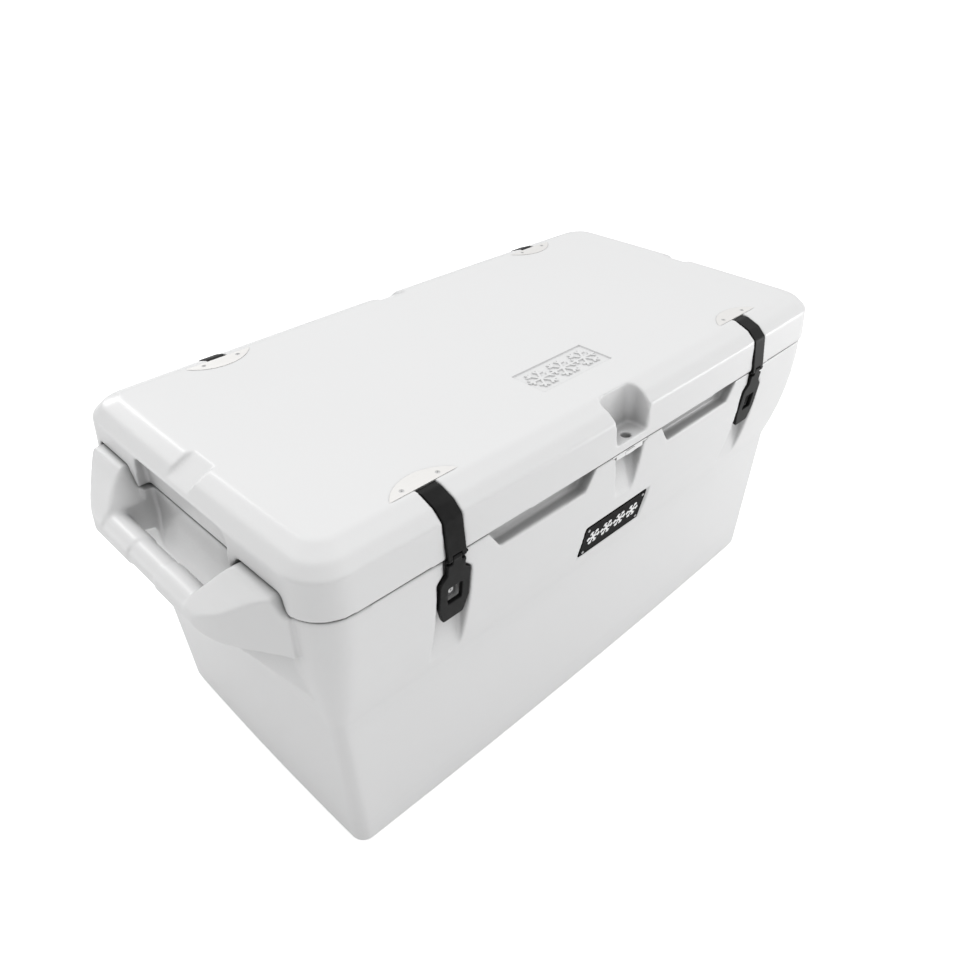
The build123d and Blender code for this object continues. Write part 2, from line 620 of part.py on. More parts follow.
# ---- Latches ----
latch_parts = {}
for corner, (sx, sy) in CORNERS.items():
    x = sx * LATCH_X
    pin_plane = outward_plane(x, sy)
    with BuildPart() as strap_plate:
        with BuildSketch(plate_plane(sx, sy)):
            add(half_moon(0.0))
            with Locations((-PLATE_SCREW_X, PLATE_SCREW_Y), (PLATE_SCREW_X, PLATE_SCREW_Y)):
                Circle(PLATE_SCREW_R, mode=Mode.SUBTRACT)
        extrude(amount=PLATE_T)
        with BuildSketch(plate_plane(sx, sy).offset(PLATE_T)):
            with Locations((-PLATE_SCREW_X, PLATE_SCREW_Y), (PLATE_SCREW_X, PLATE_SCREW_Y)):
                Circle(PLATE_HEAD_R)
        extrude(amount=-PLATE_HEAD_H, mode=Mode.SUBTRACT)
    latch_parts["strap_plate_" + corner] = strap_plate.part

    with BuildPart() as strap:
        add(strap_band(x, sy, STRAP_T, STRAP_WIDTH))
        with BuildSketch(pin_plane):
            with Locations((PIN_Y, PIN_Z)):
                Circle(KNUCKLE_R)
            with Locations((PIN_Y, (PIN_Z + STRAP_FOOT_Z) / 2)):
                Rectangle(STRAP_T, STRAP_FOOT_Z - PIN_Z)
        extrude(amount=STRAP_WIDTH / 2, both=True)
        with BuildSketch(pin_plane):
            with Locations((PIN_Y, PIN_Z)):
                Circle(KNUCKLE_R + 2 * KNUCKLE_GAP)
            with BuildLine():
                Polyline(*[(PIN_Y + out, PIN_Z + rise) for out, rise in SWING_RELIEF], close=True)
            make_face()
        extrude(amount=KNUCKLE_SPLIT, both=True, mode=Mode.SUBTRACT)
        with BuildSketch(pin_plane):
            with Locations((PIN_Y, PIN_Z)):
                Circle(PIN_R)
        extrude(amount=STRAP_WIDTH, both=True, mode=Mode.SUBTRACT)
    latch_parts["latch_strap_" + corner] = strap.part

    with BuildPart() as pin:
        with BuildSketch(pin_plane):
            with Locations((PIN_Y, PIN_Z)):
                Circle(PIN_R)
        extrude(amount=PIN_LENGTH / 2, both=True)
        chamfer(pin.edges().filter_by(GeomType.CIRCLE), 0.6)
    latch_parts["latch_pin_" + corner] = pin.part

    with BuildPart() as tongue:
        with BuildSketch(latch_plane(sx, sy)) as grip:
            add(half_outline(TONGUE_OUTLINE))
            fillet(grip.vertices().sort_by(Axis.Y)[:8], TONGUE_ROUND)
            with Locations((0, -WINDOW_DROP)):
                RectangleRounded(*WINDOW, 3, mode=Mode.SUBTRACT)
        extrude(amount=TONGUE_T / 2, both=True)
        with BuildSketch(latch_plane(sx, sy)):
            with Locations((0, -6)):
                Rectangle(2 * (KNUCKLE_SPLIT - KNUCKLE_GAP), 12)
        extrude(amount=TONGUE_T / 2, both=True)
        with BuildSketch(pin_plane):
            with Locations((PIN_Y, PIN_Z)):
                Circle(KNUCKLE_R)
        extrude(amount=KNUCKLE_SPLIT - KNUCKLE_GAP, both=True)
        with BuildSketch(pin_plane):
            with Locations((PIN_Y, PIN_Z)):
                Circle(PIN_R + PIN_PLAY)
        extrude(amount=STRAP_WIDTH, both=True, mode=Mode.SUBTRACT)
    latch_parts["latch_tongue_" + corner] = tongue.part

    keeper_plane = face_plane(x, CHANNEL_FLOOR, KEEPER_Z, sy)
    with BuildPart() as keeper:
        with BuildSketch(keeper_plane):
            RectangleRounded(*KEEPER_SIZE, 5)
        extrude(amount=KEEPER_FACE - CHANNEL_FLOOR)
        front = keeper.faces().sort_by(Axis.Y)[0 if sy < 0 else -1]
        fillet(front.edges(), 3)
        with BuildSketch(keeper_plane):
            Circle(SCREW_R)
        extrude(amount=20, mode=Mode.SUBTRACT)
        with BuildSketch(keeper_plane.offset(KEEPER_FACE - CHANNEL_FLOOR - KEEPER_SINK)):
            Circle(4)
        extrude(amount=20, mode=Mode.SUBTRACT)
    latch_parts["latch_keeper_" + corner] = keeper.part

with BuildPart() as keeper_screws:
    for sx, sy in CORNERS.values():
        screw_plane = face_plane(sx * LATCH_X, KEEPER_FACE - KEEPER_SINK, KEEPER_Z, sy)
        with BuildSketch(screw_plane):
            Circle(3.9)
            Circle(1.3, mode=Mode.SUBTRACT)
        extrude(amount=2)
        with BuildSketch(screw_plane.offset(0.7)):
            Circle(SCREW_R)
        extrude(amount=CHANNEL_FLOOR - KEEPER_FACE + KEEPER_SINK - 0.7 - KEEPER_SCREW_REACH)

with BuildPart() as plate_screws:
    for sx, sy in CORNERS.values():
        with BuildSketch(plate_plane(sx, sy).offset(PLATE_T - PLATE_HEAD_H)):
            with Locations((-PLATE_SCREW_X, PLATE_SCREW_Y), (PLATE_SCREW_X, PLATE_SCREW_Y)):
                Circle(PLATE_HEAD_R)
        extrude(amount=PLATE_HEAD_H - 0.1)
        with BuildSketch(plate_plane(sx, sy).offset(PLATE_T - PLATE_HEAD_H)):
            with Locations((-PLATE_SCREW_X, PLATE_SCREW_Y), (PLATE_SCREW_X, PLATE_SCREW_Y)):
                Circle(PLATE_SCREW_R)
        extrude(amount=-PLATE_SCREW_LENGTH - PLATE_T + PLATE_HEAD_H)
        with BuildSketch(plate_plane(sx, sy).offset(PLATE_T)):
            with Locations((-PLATE_SCREW_X, PLATE_SCREW_Y), (PLATE_SCREW_X, PLATE_SCREW_Y)):
                RegularPolygon(1.2, 6)
        extrude(amount=-0.9, mode=Mode.SUBTRACT)

# ---- Lock plate, badge, drain and feet ----
with BuildPart() as lock_plate:
    plate_top = RIM_Z - 0.3
    with BuildSketch(Plane.XY.offset(plate_top)):
        with Locations((0, -(LOCK_SEAT_BACK + 0.5 + LOCK_FRONT) / 2)):
            Rectangle(2 * LOCK_SEAT_HALF - 1, LOCK_FRONT - LOCK_SEAT_BACK - 0.5)
        with Locations((0, -LOCK_Y)):
            Circle(LOCK_HOLE_R, mode=Mode.SUBTRACT)
        with Locations(*LOCK_SCREWS):
            Circle(SCREW_R, mode=Mode.SUBTRACT)
    extrude(amount=-LOCK_PLATE_T)
    with BuildSketch(Plane.XY.offset(plate_top)):
        with Locations((0, -LOCK_FRONT + LOCK_LIP_T / 2)):
            Rectangle(56, LOCK_LIP_T)
    extrude(amount=-LOCK_LIP_H)
    with BuildSketch(Plane.XY.offset(plate_top - LOCK_LIP_H + 1)):
        with Locations((0, -LOCK_FRONT)):
            SlotOverall(18, 3)
    extrude(amount=LOCK_LIP_H - 2)

with BuildPart() as lock_plate_screws:
    with BuildSketch(Plane.XY.offset(plate_top)):
        with Locations(*LOCK_SCREWS):
            Circle(3.6)
    extrude(amount=1.4)
    with BuildSketch(Plane.XY.offset(plate_top)):
        with Locations(*LOCK_SCREWS):
            Circle(SCREW_R)
    extrude(amount=-12)

with BuildPart() as badge_plate:
    with BuildSketch(badge_plane):
        Rectangle(*BADGE_SIZE)
        with Locations(*RIVETS):
            Circle(RIVET_R, mode=Mode.SUBTRACT)
    extrude(amount=BADGE_T)
    with BuildSketch(badge_plane.offset(BADGE_T)):
        Rectangle(BADGE_SIZE[0] - 2 * BADGE_EDGE, BADGE_SIZE[1] - 2 * BADGE_EDGE)
    extrude(amount=-BADGE_SINK, mode=Mode.SUBTRACT)

with BuildPart() as badge_rivets:
    with BuildSketch(badge_plane.offset(BADGE_T - BADGE_SINK)):
        with Locations(*RIVETS):
            Circle(2.3)
    extrude(amount=1.0)
    with BuildSketch(badge_plane.offset(BADGE_T - BADGE_SINK)):
        with Locations(*RIVETS):
            Circle(RIVET_R)
    extrude(amount=BADGE_SINK - BADGE_T - RIVET_LENGTH)

with BuildPart() as drain_fitting:
    with BuildSketch(Plane.YZ.offset(DRAIN_INNER_X)):
        with Locations((0, DRAIN_Z)):
            Circle(DRAIN_TUBE_R - SCREW_PLAY)
    extrude(amount=DRAIN_FACE_X - DRAIN_INNER_X)
    with BuildSketch(Plane.YZ.offset(DRAIN_FACE_X)):
        with Locations((0, DRAIN_Z)):
            Circle(DRAIN_FLANGE_R)
    extrude(amount=DRAIN_FLANGE_T)
    with BuildSketch(Plane.YZ.offset(DRAIN_INNER_X)):
        with Locations((0, DRAIN_Z)):
            Circle(DRAIN_BORE_R)
    extrude(amount=100, mode=Mode.SUBTRACT)

washer_x = DRAIN_FACE_X + DRAIN_FLANGE_T + 0.1
with BuildPart() as drain_washer:
    with BuildSketch(Plane.YZ.offset(washer_x)):
        with Locations((0, DRAIN_Z)):
            Circle(16)
            Circle(DRAIN_BORE_R, mode=Mode.SUBTRACT)
    extrude(amount=2.5)

with BuildPart() as drain_plug:
    head_x = washer_x + 2.6
    with BuildSketch(Plane.YZ.offset(head_x)):
        with Locations((0, DRAIN_Z)):
            Circle(18)
            with PolarLocations(18.6, 18):
                Circle(1.6, mode=Mode.SUBTRACT)
    extrude(amount=7)
    with BuildSketch(Plane.YZ.offset(head_x)):
        with Locations((0, DRAIN_Z)):
            Circle(DRAIN_BORE_R - DRAIN_PLUG_PLAY)
    extrude(amount=-24)
    with BuildSketch(Plane.YZ.offset(head_x + 7)):
        with Locations((0, DRAIN_Z)):
            Rectangle(22, 6)
    extrude(amount=5)

feet = {}
for corner, (sx, sy) in CORNERS.items():
    with BuildPart() as foot:
        with Locations((sx * FOOT_AT[0], sy * FOOT_AT[1], FOOT_T / 2)):
            Cylinder(FOOT_R, FOOT_T)
        fillet(foot.faces().sort_by(Axis.Z)[0].edges(), 1)
        with BuildSketch():
            with Locations((sx * FOOT_AT[0], sy * FOOT_AT[1])):
                Circle(4.6)
        extrude(amount=3, mode=Mode.SUBTRACT)
        with BuildSketch():
            with Locations((sx * FOOT_AT[0], sy * FOOT_AT[1])):
                Circle(SCREW_R)
        extrude(amount=FOOT_T, mode=Mode.SUBTRACT)
    feet["foot_" + corner] = foot.part

with BuildPart() as foot_screws:
    with BuildSketch(Plane.XY.offset(1)):
        with GridLocations(2 * FOOT_AT[0], 2 * FOOT_AT[1], 2, 2):
            Circle(4.2)
            RegularPolygon(1.6, 6, mode=Mode.SUBTRACT)
    extrude(amount=2)
    with BuildSketch(Plane.XY.offset(2.5)):
        with GridLocations(2 * FOOT_AT[0], 2 * FOOT_AT[1], 2, 2):
            Circle(SCREW_R)
    extrude(amount=FOOT_SCREW_TOP - 2.5)

# ---- Write every piece ----
pieces = {
    "body_shell": body_shell.part,
    "body_foam": body_foam.part,
    "lid_shell": lid_shell.part,
    "lid_foam": lid_foam.part,
    "lid_gasket": lid_gasket.part,
    "plate_screws": plate_screws.part,
    "keeper_screws": keeper_screws.part,
    "lock_plate": lock_plate.part,
    "lock_plate_screws": lock_plate_screws.part,
    "badge_plate": badge_plate.part,
    "badge_rivets": badge_rivets.part,
    "drain_fitting": drain_fitting.part,
    "drain_washer": drain_washer.part,
    "drain_plug": drain_plug.part,
    "foot_screws": foot_screws.part,
    **latch_parts,
    **feet,
}
os.makedirs("parts", exist_ok=True)
for name, piece in pieces.items():
    piece.label = name
    export_step(piece, f"parts/{name}.step")
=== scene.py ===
import json
import math

import bmesh
import bpy
import numpy as np
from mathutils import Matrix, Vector

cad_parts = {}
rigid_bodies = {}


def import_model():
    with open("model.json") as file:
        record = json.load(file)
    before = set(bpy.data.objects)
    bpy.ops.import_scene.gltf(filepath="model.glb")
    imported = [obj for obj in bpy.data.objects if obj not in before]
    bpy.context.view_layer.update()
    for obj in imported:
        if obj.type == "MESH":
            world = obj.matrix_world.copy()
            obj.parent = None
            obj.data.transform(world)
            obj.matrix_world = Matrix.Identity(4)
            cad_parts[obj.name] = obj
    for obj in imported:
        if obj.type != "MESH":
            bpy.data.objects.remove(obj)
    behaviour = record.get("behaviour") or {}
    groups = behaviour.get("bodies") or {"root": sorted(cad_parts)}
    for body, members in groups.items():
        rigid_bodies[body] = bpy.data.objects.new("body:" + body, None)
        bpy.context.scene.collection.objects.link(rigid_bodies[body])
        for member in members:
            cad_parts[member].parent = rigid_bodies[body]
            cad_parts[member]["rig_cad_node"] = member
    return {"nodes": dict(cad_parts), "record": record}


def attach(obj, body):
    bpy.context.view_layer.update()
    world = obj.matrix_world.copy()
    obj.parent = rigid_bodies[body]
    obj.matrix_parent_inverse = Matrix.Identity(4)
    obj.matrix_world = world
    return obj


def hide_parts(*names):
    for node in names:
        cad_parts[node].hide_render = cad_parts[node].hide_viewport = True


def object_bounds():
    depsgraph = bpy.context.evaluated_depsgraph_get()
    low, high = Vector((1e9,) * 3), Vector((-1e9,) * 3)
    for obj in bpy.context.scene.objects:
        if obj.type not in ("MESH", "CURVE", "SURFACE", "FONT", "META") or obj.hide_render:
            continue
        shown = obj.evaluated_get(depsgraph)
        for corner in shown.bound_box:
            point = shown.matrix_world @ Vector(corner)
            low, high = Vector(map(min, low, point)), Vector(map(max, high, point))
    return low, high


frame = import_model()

# Metres throughout. The chest's latched front faces -Y, its length runs along X, and it stands on z = 0.
cad_low, cad_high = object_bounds()
NODES = frame["nodes"]
MM = 0.001
CORNERS = ("front_left", "front_right", "back_left", "back_right")
BODY_OF = {
    node: body
    for body, members in frame["record"]["behaviour"]["bodies"].items()
    for node in members
}
SLOT_OF = {row["node"]: row["material_slot"] for row in frame["record"]["subparts"]}


# ---- Material nodes ----
# Sockets of Blender's Mix node, which have no names of their own for each data type
MIX_FACTOR = 0
FLOAT_FIRST, FLOAT_SECOND, FLOAT_RESULT = 2, 3, 0
COLOR_FIRST, COLOR_SECOND, COLOR_RESULT = 6, 7, 2

# Painted shade in hollows, standing in for the shade that falls there: rays per point, the open share
# that counts as closed and as fully open, and the height over which the lowest part of the chest is left
# out
PAINTED_SHADE_RAYS = 6
PAINTED_SHADE_OPENING = (0.25, 0.95)
FLOOR_ZONE = (40 * MM, 80 * MM)


class Shader:
    """One material: adds nodes to it and links them to its Principled surface."""

    def __init__(self, name):
        self.material = bpy.data.materials.new(name)
        self.material.use_nodes = True
        self.tree = self.material.node_tree
        self.tree.nodes.clear()
        self.output = self.node("ShaderNodeOutputMaterial")
        self.surface = self.node("ShaderNodeBsdfPrincipled")
        self.link(self.surface.outputs["BSDF"], self.output.inputs["Surface"])
        self.place = self.node("ShaderNodeTexCoord").outputs["Object"]

    def node(self, kind, **settings):
        made = self.tree.nodes.new(kind)
        for key, value in settings.items():
            setattr(made, key, value)
        return made

    def link(self, out_socket, in_socket):
        self.tree.links.new(out_socket, in_socket)

    def set(self, **inputs):
        for key, value in inputs.items():
            self.surface.inputs[key.replace("_", " ")].default_value = value

    def stretched(self, scale):
        """Object coordinates scaled differently along X, Y and Z."""
        mapping = self.node("ShaderNodeMapping")
        mapping.inputs["Scale"].default_value = scale
        self.link(self.place, mapping.inputs["Vector"])
        return mapping.outputs["Vector"]

    def noise(self, scale, detail=4.0, rough=0.5, vector=None):
        made = self.node("ShaderNodeTexNoise")
        made.inputs["Scale"].default_value = scale
        made.inputs["Detail"].default_value = detail
        made.inputs["Roughness"].default_value = rough
        self.link(vector or self.place, made.inputs["Vector"])
        return made.outputs["Fac"]

    def range(self, value, low, high, from_low=0.0, from_high=1.0):
        made = self.node("ShaderNodeMapRange")
        made.inputs["From Min"].default_value = from_low
        made.inputs["From Max"].default_value = from_high
        made.inputs["To Min"].default_value = low
        made.inputs["To Max"].default_value = high
        self.link(value, made.inputs["Value"])
        return made.outputs["Result"]

    def mix(self, factor, first, second):
        made = self.node("ShaderNodeMix", data_type="RGBA")
        made.inputs[COLOR_FIRST].default_value = (*first, 1.0)
        made.inputs[COLOR_SECOND].default_value = (*second, 1.0)
        self.link(factor, made.inputs[MIX_FACTOR])
        return made.outputs[COLOR_RESULT]

    def shaded(self, color, reach, deepest):
        """The colour with painted shade in hollows narrower than reach, darkened down to the share
        called deepest.

        The lowest few centimetres keep their colour, so that the floor doesn't count as a wall.
        """
        # Ambient occlusion drives the painted shade: the colour is darkened where shade falls in hollows
        hollow = self.node("ShaderNodeAmbientOcclusion", samples=PAINTED_SHADE_RAYS)
        hollow.inputs["Distance"].default_value = reach
        split = self.node("ShaderNodeSeparateXYZ")
        self.link(self.place, split.inputs[0])
        near_floor = self.range(split.outputs["Z"], 1.0, 0.0, *FLOOR_ZONE)
        opening = self.math("MAXIMUM", hollow.outputs["AO"], near_floor)
        made = self.node("ShaderNodeMix", data_type="RGBA", blend_type="MULTIPLY")
        made.inputs[MIX_FACTOR].default_value = 1.0
        self.link(color, made.inputs[COLOR_FIRST])
        self.link(self.range(opening, deepest, 1.0, *PAINTED_SHADE_OPENING), made.inputs[COLOR_SECOND])
        return made.outputs[COLOR_RESULT]

    def math(self, operation, first, second):
        made = self.node("ShaderNodeMath", operation=operation)
        for index, value in enumerate((first, second)):
            if isinstance(value, (int, float)):
                made.inputs[index].default_value = value
            else:
                self.link(value, made.inputs[index])
        return made.outputs[0]

    def color(self, socket):
        self.link(socket, self.surface.inputs["Base Color"])

    def rough(self, socket):
        self.link(socket, self.surface.inputs["Roughness"])

    def bump(self, height, distance, strength=1.0):
        """Bump whose full height is distance, in metres; later bumps build on earlier ones."""
        made = self.node("ShaderNodeBump")
        made.inputs["Distance"].default_value = distance
        made.inputs["Strength"].default_value = strength
        self.link(height, made.inputs["Height"])
        slot = self.surface.inputs["Normal"]
        if slot.is_linked:
            self.link(slot.links[0].from_socket, made.inputs["Normal"])
        self.link(made.outputs["Normal"], slot)


# The shells' white: its two tones, and the reach of the painted shade that darkens it in hollows, with
# the share left in the deepest
WHITE_DULL, WHITE_CLEAN = (0.80, 0.802, 0.804), (0.835, 0.836, 0.837)
WHITE_SHADE_REACH, WHITE_SHADE_DEEPEST = 50 * MM, 0.3


def white_polyethylene():
    """Rotomoulded shell: semi-gloss white with a faint orange-peel skin, slight tone drift and painted
    shade in its hollows.
    """
    shader = Shader("white_polyethylene")
    drift = shader.noise(scale=2.2, detail=3.0, rough=0.55)
    speck = shader.noise(scale=420.0, detail=2.0, rough=0.6)
    tone = shader.math("ADD", shader.range(drift, 0.0, 0.75), shader.range(speck, 0.0, 0.25))
    # The tone drift is the plastic's own; the hollows get painted shade on top of it
    shader.color(shader.shaded(shader.mix(tone, WHITE_DULL, WHITE_CLEAN), WHITE_SHADE_REACH, WHITE_SHADE_DEEPEST))
    cloud = shader.noise(scale=9.0, detail=5.0, rough=0.6)
    fine = shader.noise(scale=260.0, detail=3.0, rough=0.6)
    shader.rough(shader.math("ADD", shader.range(cloud, 0.25, 0.36), shader.range(fine, -0.03, 0.05)))
    shader.bump(shader.noise(scale=120.0, detail=2.0), distance=0.06 * MM, strength=0.6)
    shader.bump(shader.noise(scale=900.0, detail=2.0), distance=0.03 * MM, strength=0.5)
    shader.set(IOR=1.51, Specular_IOR_Level=0.5)
    return shader.material


def moulded_rubber(name, dark, light, gloss):
    """Satin rubber: fine grain, faint bloom and slight wear."""
    shader = Shader(name)
    bloom = shader.noise(scale=60.0, detail=5.0, rough=0.6)
    shader.color(shader.mix(shader.range(bloom, 0.0, 1.0, 0.35, 0.7), dark, light))
    grain = shader.noise(scale=1800.0, detail=2.0, rough=0.6)
    worn = shader.range(bloom, gloss, gloss + 0.12)
    shader.rough(shader.math("ADD", worn, shader.range(grain, -0.04, 0.04)))
    shader.bump(grain, distance=0.04 * MM, strength=0.8)
    shader.bump(shader.noise(scale=300.0, detail=3.0), distance=0.05 * MM, strength=0.5)
    shader.set(Specular_IOR_Level=0.16)
    return shader.material


# Noise cells per metre along X, Y and Z: long brushing lines along X, or an even satin grain
BRUSHED_ALONG_X = (6.0, 900.0, 900.0)
SATIN = (700.0, 700.0, 700.0)


def brushed_metal(name, tone, gloss, lines=BRUSHED_ALONG_X):
    """Metal with a grain of the given lines and a little clouding."""
    shader = Shader(name)
    brushing = shader.noise(scale=1.0, detail=3.0, rough=0.6, vector=shader.stretched(lines))
    cloud = shader.noise(scale=70.0, detail=4.0, rough=0.6)
    darker = tuple(channel * 0.86 for channel in tone)
    marks = shader.math("ADD", shader.range(brushing, 0.0, 0.7), shader.range(cloud, 0.0, 0.3))
    shader.color(shader.mix(marks, darker, tone))
    shader.rough(shader.range(brushing, gloss - 0.07, gloss + 0.1))
    shader.bump(brushing, distance=0.02 * MM, strength=0.6)
    shader.set(Metallic=1.0)
    return shader.material


def enamel(name, tone, gloss):
    """Baked enamel with a trace of orange peel and dust."""
    shader = Shader(name)
    dust = shader.noise(scale=500.0, detail=4.0, rough=0.7)
    dusty = tuple(channel + 0.006 for channel in tone)
    shader.color(shader.mix(shader.range(dust, 0.0, 1.0, 0.55, 0.8), tone, dusty))
    shader.rough(shader.range(dust, gloss, gloss + 0.15))
    shader.bump(shader.noise(scale=350.0, detail=2.0), distance=0.03 * MM, strength=0.5)
    shader.set(Specular_IOR_Level=0.05)
    return shader.material


def hard_plastic(name, tone, gloss):
    """Injection-moulded plastic with a fine spark-eroded grain."""
    shader = Shader(name)
    grain = shader.noise(scale=1300.0, detail=3.0, rough=0.6)
    drift = shader.noise(scale=25.0, detail=3.0)
    darker = tuple(channel * 0.93 for channel in tone)
    shader.color(shader.mix(drift, darker, tone))
    shader.rough(shader.range(grain, gloss - 0.05, gloss + 0.08))
    shader.bump(grain, distance=0.03 * MM, strength=0.7)
    return shader.material


FOAM_PIT, FOAM_WALL = (0.72, 0.62, 0.40), (0.86, 0.78, 0.56)
FOAM_CELLS_PER_METRE = 500.0


def rigid_foam():
    """Closed-cell foam: pale yellow, matt and pitted."""
    shader = Shader("rigid_foam")
    cells = shader.node("ShaderNodeTexVoronoi")
    cells.inputs["Scale"].default_value = FOAM_CELLS_PER_METRE
    shader.link(shader.place, cells.inputs["Vector"])
    from_pit = cells.outputs["Distance"]
    shader.color(shader.mix(from_pit, FOAM_PIT, FOAM_WALL))
    shader.rough(shader.range(from_pit, 0.8, 0.95))
    shader.bump(from_pit, distance=0.4 * MM)
    return shader.material


def grey(level, blue=0.0):
    """A neutral colour, its blue raised a little where asked."""
    return (level, level, level + blue)


WHITE = grey(1.0)

MATERIALS = {
    "white_shell": white_polyethylene(),
    "foam": rigid_foam(),
    "seal_rubber": moulded_rubber("seal_rubber", grey(0.02, 0.001), grey(0.045, 0.002), gloss=0.55),
    "strap_rubber": moulded_rubber("strap_rubber", grey(0.006), grey(0.013), gloss=0.42),
    "pin_black": enamel("pin_black", tone=grey(0.012), gloss=0.3),
    "keeper_plastic": hard_plastic("keeper_plastic", tone=grey(0.075, 0.002), gloss=0.38),
    "strap_plate_metal": brushed_metal("strap_plate_metal", tone=(0.90, 0.89, 0.875), gloss=0.5),
    "screw_steel": brushed_metal("screw_steel", tone=grey(0.66), gloss=0.28, lines=SATIN),
    "stainless_plate": brushed_metal("stainless_plate", tone=grey(0.90), gloss=0.2),
    "badge_black": enamel("badge_black", tone=grey(0.003), gloss=0.4),
    "badge_print": enamel("badge_print", tone=grey(0.93), gloss=0.4),
    "drain_plastic": hard_plastic("drain_plastic", tone=grey(0.78), gloss=0.36),
    "foot_rubber": moulded_rubber("foot_rubber", grey(0.014), grey(0.03), gloss=0.6),
}


# ---- Meshes ----
WELD_REACH = 0.001 * MM
RELAX_STEP = 0.5
BEVEL_SEGMENTS = 2
BEVEL_ANGLE = math.radians(35)


def paint(obj, slot):
    """Give obj the slot's material."""
    obj.data.materials.clear()
    obj.data.materials.append(MATERIALS[slot])


def link(obj):
    bpy.context.scene.collection.objects.link(obj)
    return obj


def evaluated_mesh(obj, name):
    """The mesh of obj with its modifiers applied."""
    bpy.context.view_layer.update()
    graph = bpy.context.evaluated_depsgraph_get()
    mesh = bpy.data.meshes.new_from_object(obj.evaluated_get(graph))
    mesh.name = name
    return mesh


def outer_skin(node):
    """The node's mesh with doubles merged and every enclosed void's surface left out."""
    bm = bmesh.new()
    bm.from_mesh(NODES[node].data)
    bmesh.ops.remove_doubles(bm, verts=bm.verts, dist=WELD_REACH)
    groups, seen = [], set()
    for start in bm.verts:
        if start.index in seen:
            continue
        stack, group = [start], []
        seen.add(start.index)
        while stack:
            vert = stack.pop()
            group.append(vert)
            for edge in vert.link_edges:
                other = edge.other_vert(vert)
                if other.index not in seen:
                    seen.add(other.index)
                    stack.append(other)
        groups.append(group)

    def length(group):
        xs = [vert.co.x for vert in group]
        return max(xs) - min(xs)

    outer = max(groups, key=length)
    doomed = [vert for group in groups if group is not outer for vert in group]
    bmesh.ops.delete(bm, geom=doomed, context="VERTS")
    mesh = bpy.data.meshes.new(node + "_skin")
    bm.to_mesh(mesh)
    bm.free()
    return mesh


def relax(mesh, rounds):
    """Laplacian smoothing: each round moves every point part of the way to its neighbours' mean."""
    count = len(mesh.vertices)
    points = np.empty(count * 3)
    mesh.vertices.foreach_get("co", points)
    points = points.reshape(-1, 3)
    edges = np.empty(len(mesh.edges) * 2, np.int64)
    mesh.edges.foreach_get("vertices", edges)
    first, second = edges.reshape(-1, 2).T
    valence = np.bincount(first, minlength=count) + np.bincount(second, minlength=count)
    for _ in range(rounds):
        mean = np.empty_like(points)
        for axis in range(3):
            values = points[:, axis]
            mean[:, axis] = np.bincount(first, values[second], count)
            mean[:, axis] += np.bincount(second, values[first], count)
        mean /= valence[:, None]
        points += RELAX_STEP * (mean - points)
    mesh.vertices.foreach_set("co", points.ravel())
    mesh.update()


def even_mesh(source, name, voxel, rounds):
    """The source object's mesh rebuilt as even cells, its edges softly rounded."""
    even = source.modifiers.new("even", "REMESH")
    even.mode = "VOXEL"
    even.voxel_size = voxel
    mesh = evaluated_mesh(source, name)
    bpy.data.objects.remove(source)
    relax(mesh, rounds)
    mesh.shade_smooth()
    return mesh


def soft_piece(node, name, voxel, rounds):
    """A new piece with the node's shape, rebuilt as an even mesh with softly rounded edges."""
    source = link(bpy.data.objects.new(name + "_source", outer_skin(node)))
    piece = link(bpy.data.objects.new(name, even_mesh(source, name, voxel, rounds)))
    paint(piece, SLOT_OF[node])
    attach(piece, BODY_OF[node])
    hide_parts(node)
    return piece


def rounded(node, width):
    """Small machined or moulded edge rounding on a CAD node, shaded smooth."""
    obj = NODES[node]
    merge = obj.modifiers.new("merge", "WELD")
    merge.merge_threshold = WELD_REACH
    bevel = obj.modifiers.new("edge", "BEVEL")
    bevel.width = width
    bevel.segments = BEVEL_SEGMENTS
    bevel.limit_method = "ANGLE"
    bevel.angle_limit = BEVEL_ANGLE
    obj.data.shade_smooth()
    weighted = obj.modifiers.new("flats", "WEIGHTED_NORMAL")
    weighted.keep_sharp = True


# ---- Snowflakes ----
# Six arms, each with one pair of barbs. A barb's start and length are shares of the arm's reach.
ARMS = 6
ARM_TURN = 2 * math.pi / ARMS
BARB_START, BARB_LENGTH, BARB_TURN = 0.68, 0.3, math.radians(60)


def flake_distance(across, up, reach, width):
    """Distance from a plain six-armed snowflake's outline, negative inside it."""
    folded = np.abs((np.arctan2(up, across) + ARM_TURN / 2) % ARM_TURN - ARM_TURN / 2)
    radius = np.hypot(across, up)
    along, aside = radius * np.cos(folded), radius * np.sin(folded)
    arm = np.hypot(np.maximum(along - reach, 0), aside)
    along = along - BARB_START * reach
    step = np.clip(along * math.cos(BARB_TURN) + aside * math.sin(BARB_TURN), 0, BARB_LENGTH * reach)
    barb = np.hypot(along - step * math.cos(BARB_TURN), aside - step * math.sin(BARB_TURN))
    return np.minimum(arm, barb) - width / 2


def box_corners(start, direction, length, width, thick):
    """The eight corners of a bar from a 2-D point, which reaches thick above and below local z = 0."""
    side = Vector((-direction.y, direction.x)) * (width / 2)
    end = start + direction * length
    outline = [start - side, end - side, end + side, start + side]
    return [(corner.x, corner.y, z) for z in (-thick, thick) for corner in outline]


def flake_bars(centre, reach, width, thick):
    """Every arm and barb of one snowflake as the corners of a flat bar."""
    bars = []
    for arm in range(ARMS):
        turn = arm * ARM_TURN
        direction = Vector((math.cos(turn), math.sin(turn)))
        bars.append(box_corners(centre, direction, reach, width, thick))
        for side in (-1, 1):
            angle = turn + side * BARB_TURN
            branch = Vector((math.cos(angle), math.sin(angle)))
            root = centre + direction * (BARB_START * reach)
            bars.append(box_corners(root, branch, BARB_LENGTH * reach, width, thick))
    return bars


